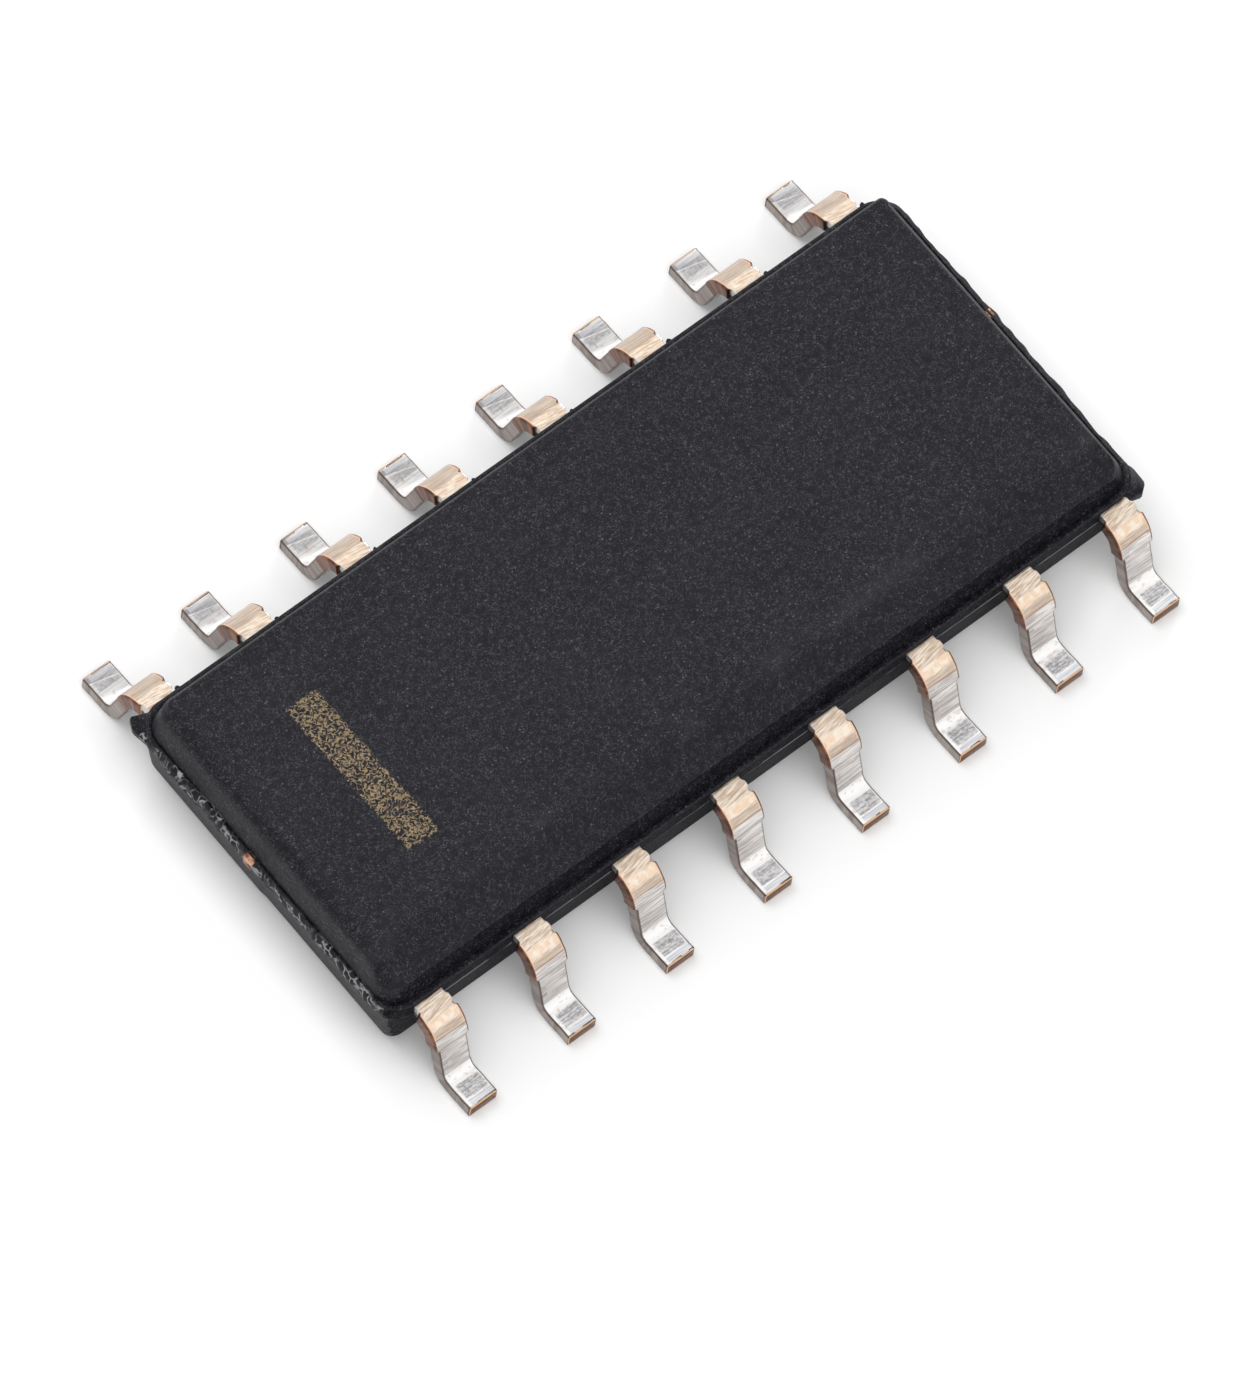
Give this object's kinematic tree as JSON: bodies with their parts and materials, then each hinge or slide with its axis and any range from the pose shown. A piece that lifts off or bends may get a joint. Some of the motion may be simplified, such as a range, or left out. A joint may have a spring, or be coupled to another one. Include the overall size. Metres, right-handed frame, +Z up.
{
  "type": "soic chip",
  "caption": "Flat rectangular dark moulded chip package with a bevelled long edge and a row of gull-wing leads along each long side, soldered to a circuit board.",
  "frame": {"origin": "centre of the bounding box at the bottom, on the plane that the lead feet stand on", "axes": "+X along the long axis of the body, from the pin 1 end; +Y from the bevelled side of pins 1 to 8 to the side of pins 9 to 16; +Z up from the board through the top face"},
  "size_m": [0.0098, 0.006, 0.0015],
  "materials": {
    "mould_compound": "dark charcoal moulding compound, fine grain",
    "lead_frame": "dull plated copper alloy, brushed",
    "die_attach": "silver-filled adhesive",
    "silicon": "polished dark grey silicon",
    "bond_wire": "bright gold"
  },
  "bodies": {
    "root": {"mould_body": "mould_compound", "lead_01": "lead_frame", "lead_02": "lead_frame", "lead_03": "lead_frame", "lead_04": "lead_frame", "lead_05": "lead_frame", "lead_06": "lead_frame", "lead_07": "lead_frame", "lead_08": "lead_frame", "lead_09": "lead_frame", "lead_10": "lead_frame", "lead_11": "lead_frame", "lead_12": "lead_frame", "lead_13": "lead_frame", "lead_14": "lead_frame", "lead_15": "lead_frame", "lead_16": "lead_frame", "die_pad": "lead_frame", "die_attach": "die_attach", "silicon_die": "silicon", "bond_wire_01": "bond_wire", "bond_wire_02": "bond_wire", "bond_wire_03": "bond_wire", "bond_wire_04": "bond_wire", "bond_wire_05": "bond_wire", "bond_wire_06": "bond_wire", "bond_wire_07": "bond_wire", "bond_wire_08": "bond_wire", "bond_wire_09": "bond_wire", "bond_wire_10": "bond_wire", "bond_wire_11": "bond_wire", "bond_wire_12": "bond_wire", "bond_wire_13": "bond_wire", "bond_wire_14": "bond_wire", "bond_wire_15": "bond_wire", "bond_wire_16": "bond_wire"}
  },
  "joints": []
}
